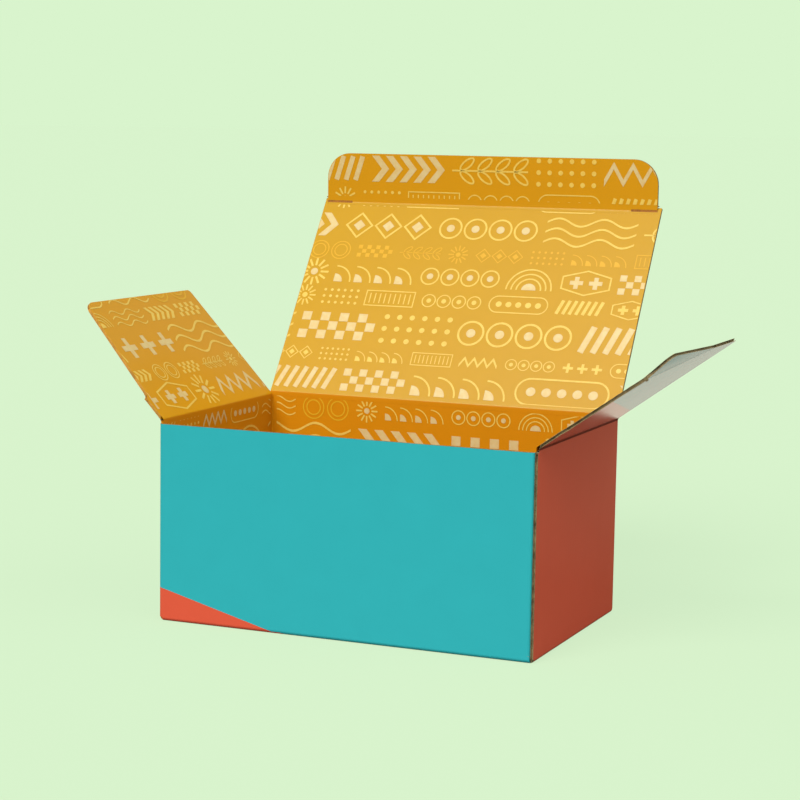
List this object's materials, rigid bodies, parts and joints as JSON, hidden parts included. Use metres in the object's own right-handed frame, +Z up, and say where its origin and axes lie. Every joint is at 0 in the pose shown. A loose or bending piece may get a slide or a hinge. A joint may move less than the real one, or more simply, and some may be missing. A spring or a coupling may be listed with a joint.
{
  "type": "tuck top box",
  "caption": "Folded corrugated board box with a hinged lid, a tuck with slit locks, two side flaps and a locked bottom, standing open.",
  "frame": {"origin": "middle of the footprint, on the table", "axes": "+Z up, +X to the right along the front wall, the front wall faces -Y and the lid hinges on the back wall at +Y"},
  "size_m": [0.3176, 0.198, 0.2374],
  "materials": {
    "printed_board": "E-flute board with a satin laminated print: teal and red outside, orange inside, raw kraft at the cut edges"
  },
  "bodies": {
    "body": {"box_body": "printed_board"},
    "lid": {"lid": "printed_board"},
    "tuck": {"tuck_flap": "printed_board"},
    "left_flap": {"left_dust_flap": "printed_board"},
    "right_flap": {"right_dust_flap": "printed_board"}
  },
  "joints": [
    {"name": "lid_hinge", "type": "hinge", "parent": "body", "child": "lid", "pos_m": [0, 0.0635, 0.105], "axis": [1, 0, 0], "range_deg": [-86, 124]},
    {"name": "tuck_hinge", "type": "hinge", "parent": "lid", "child": "tuck", "pos_m": [0, 0.13351, 0.2088], "axis": [1, 0, 0], "range_deg": [-55, 55]},
    {"name": "left_flap_hinge", "type": "hinge", "parent": "body", "child": "left_flap", "pos_m": [-0.1016, 0, 0.1033], "axis": [0, 1, 0], "range_deg": [-121.5, 133.5]},
    {"name": "right_flap_hinge", "type": "hinge", "parent": "body", "child": "right_flap", "pos_m": [0.1016, 0, 0.1033], "axis": [0, -1, 0], "range_deg": [-110.7, 144.3]}
  ]
}
